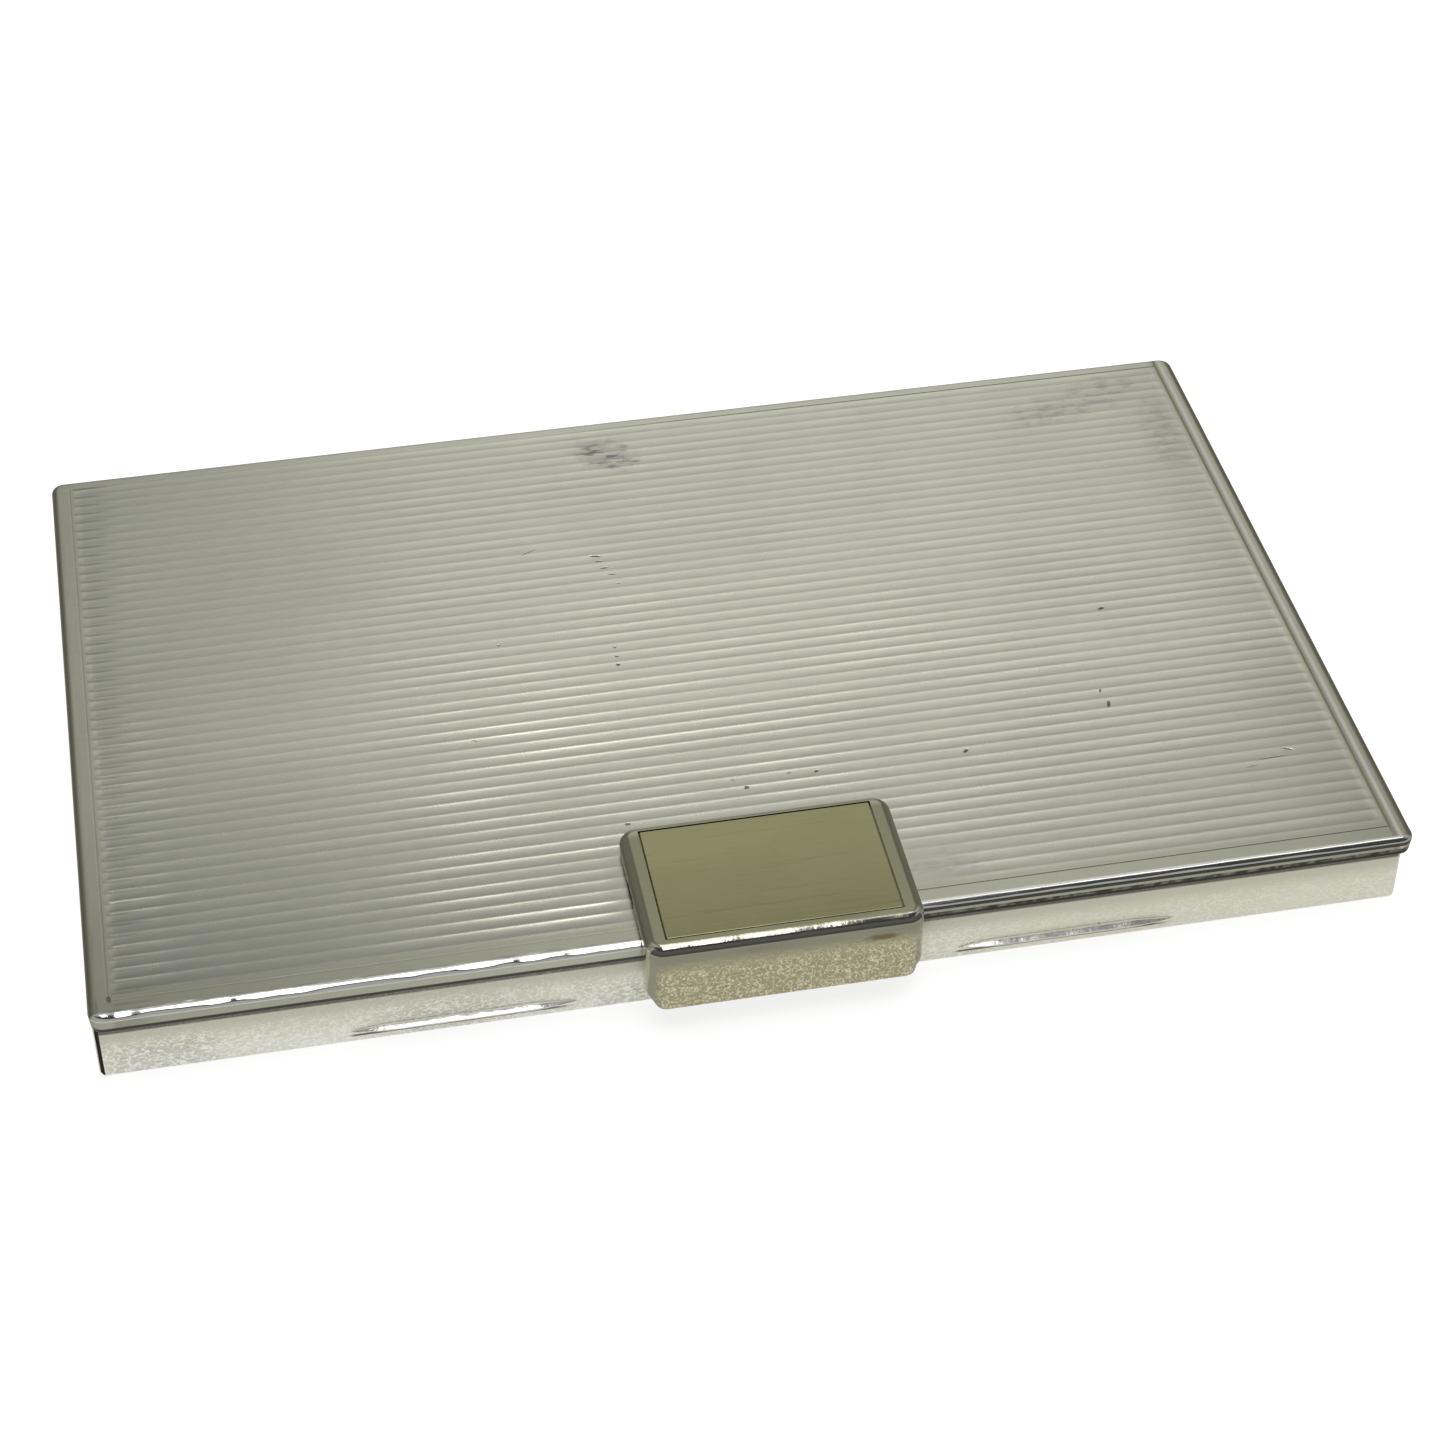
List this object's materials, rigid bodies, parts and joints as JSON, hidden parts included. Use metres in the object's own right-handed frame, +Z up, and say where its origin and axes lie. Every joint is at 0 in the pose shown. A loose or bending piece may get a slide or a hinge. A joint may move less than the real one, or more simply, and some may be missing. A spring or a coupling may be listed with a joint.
{
  "type": "business card case",
  "caption": "Shallow metal card case: plain tray, hinged fluted lid, and a rocking thumb latch with an inlaid plate that hooks over the front edge.",
  "frame": {"origin": "on the surface the case lies on, under the middle of the lid's outline", "axes": "+X along the hinge to the right, +Y from the latch to the hinge, +Z up out of the lid"},
  "size_m": [0.095, 0.0638, 0.0081],
  "materials": {
    "silver": "polished silver with fine wear",
    "frosted_silver": "frosted satin silver",
    "latch_silver": "warm satin silver with polished edges",
    "gold_plate": "pale gold, satin, lightly scratched",
    "spring_steel": "bright steel"
  },
  "bodies": {
    "base": {"base_tray": "frosted_silver", "bearer_front": "silver", "bearer_left": "silver", "bearer_right": "silver", "hinge_bearer_base": "silver", "base_knuckle_1": "silver", "base_knuckle_2": "silver", "base_knuckle_3": "silver", "base_knuckle_4": "silver", "hinge_pin": "spring_steel", "hinge_plug_left": "silver", "hinge_plug_right": "silver", "grip_bead_left": "silver", "grip_bead_right": "silver", "keeper": "silver"},
    "lid": {"lid_shell": "silver", "hinge_bearer_lid": "silver", "lid_knuckle_1": "silver", "lid_knuckle_2": "silver", "lid_knuckle_3": "silver", "latch_bracket": "silver", "latch_rivet_1": "spring_steel", "latch_rivet_2": "spring_steel", "latch_spring": "spring_steel"},
    "thumb_latch": {"thumb_cover": "latch_silver", "thumb_plate": "gold_plate", "latch_pin": "spring_steel", "cover_lug_left": "latch_silver", "cover_lug_right": "latch_silver", "latch_hook": "latch_silver"}
  },
  "joints": [
    {"name": "lid_hinge", "type": "hinge", "parent": "base", "child": "lid", "pos_m": [0, 0.02975, 0.00505], "axis": [-1, 0, 0], "range_deg": [0, 110]},
    {"name": "latch_rock", "type": "hinge", "parent": "lid", "child": "thumb_latch", "pos_m": [0.00067, -0.026, 0.00705], "axis": [-1, 0, 0], "range_deg": [0, 4], "stiffness_Nm_per_rad": 0.05, "springref_deg": -11.46}
  ]
}
